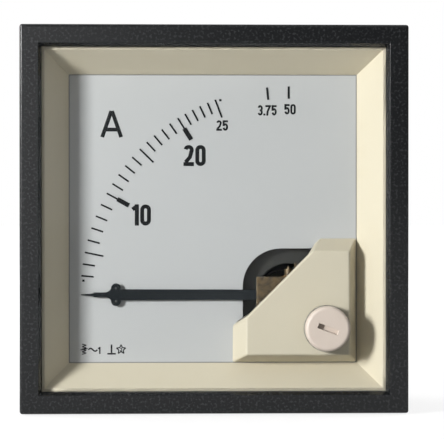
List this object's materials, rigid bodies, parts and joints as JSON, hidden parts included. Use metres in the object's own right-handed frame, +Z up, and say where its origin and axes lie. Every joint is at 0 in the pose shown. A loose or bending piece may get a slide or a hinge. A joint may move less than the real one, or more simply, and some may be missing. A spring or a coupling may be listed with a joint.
{
  "type": "analog panel meter",
  "caption": "Square panel ammeter with a 90 degree quadrant scale, a pointer turned by a moving-iron movement, a zero adjuster in the window and stud terminals behind.",
  "frame": {"origin": "centre of the bezel's back face, which seats on the front of the panel", "axes": "+X to the right seen from the front, +Y into the panel, +Z up"},
  "size_m": [0.072, 0.0673, 0.072],
  "materials": {
    "bezel_plastic": "satin",
    "window_glass": "gloss",
    "black_rubber": "matte",
    "cream_plastic": "satin",
    "adjuster_plastic": "satin",
    "dial_sheet": "matte",
    "black_ink": "matte",
    "zinc_steel": "satin",
    "black_moulding": "matte",
    "case_plastic": "matte",
    "copper_wire": "gloss",
    "soft_iron": "satin",
    "brass": "satin",
    "ruby": "gloss",
    "black_aluminium": "matte",
    "bare_aluminium": "satin",
    "spring_bronze": "satin"
  },
  "bodies": {
    "housing": {"bezel": "bezel_plastic", "window": "window_glass", "window_gasket": "black_rubber", "adjuster_seal": "black_rubber", "dial_surround": "cream_plastic", "corner_cover": "cream_plastic", "dial_plate": "dial_sheet", "scale_marks": "black_ink", "dial_screws": "zinc_steel", "carrier_frame": "black_moulding", "carrier_screws": "zinc_steel", "case_shell": "case_plastic", "coil_former": "black_moulding", "coil_winding": "copper_wire", "former_screws": "zinc_steel", "fixed_iron": "soft_iron", "bridge_pillars": "brass", "front_bridge": "brass", "bridge_screws": "zinc_steel", "stop_pins": "zinc_steel", "front_bearing_screw": "brass", "rear_bearing_screw": "brass", "bearing_jewels": "ruby", "damping_chamber": "black_moulding", "chamber_lid": "black_moulding", "chamber_screws": "zinc_steel", "terminal_stud_left": "brass", "terminal_stud_right": "brass", "terminal_washers": "zinc_steel", "spring_washers": "zinc_steel", "terminal_nuts": "brass"},
    "rotor": {"spindle": "zinc_steel", "spring_collet": "brass", "pointer_hub": "brass", "pointer": "black_aluminium", "balance_arms": "brass", "balance_weights": "brass", "iron_arms": "brass", "moving_iron": "soft_iron", "damping_vane": "bare_aluminium"},
    "lever": {"zero_lever": "brass", "hairspring": "spring_bronze"},
    "adjuster": {"zero_adjuster": "adjuster_plastic"}
  },
  "joints": [
    {"name": "pointer_swing", "type": "hinge", "parent": "housing", "child": "rotor", "pos_m": [0.01425, 0, -0.01425], "axis": [0, 1, 0], "range_deg": [-3, 93], "stiffness_Nm_per_rad": 0.0002},
    {"name": "zero_adjust", "type": "hinge", "parent": "housing", "child": "adjuster", "pos_m": [0.021, 0, -0.02035], "axis": [0, 1, 0], "range_deg": [-60, 60]},
    {"name": "zero_lever_turn", "type": "hinge", "parent": "housing", "child": "lever", "pos_m": [0.01425, 0, -0.01425], "axis": [0, 1, 0], "range_deg": [-7.5, 7.5]}
  ],
  "couplings": [
    {"joint": "zero_lever_turn", "follows": "zero_adjust", "ratio": 0.1135}
  ]
}
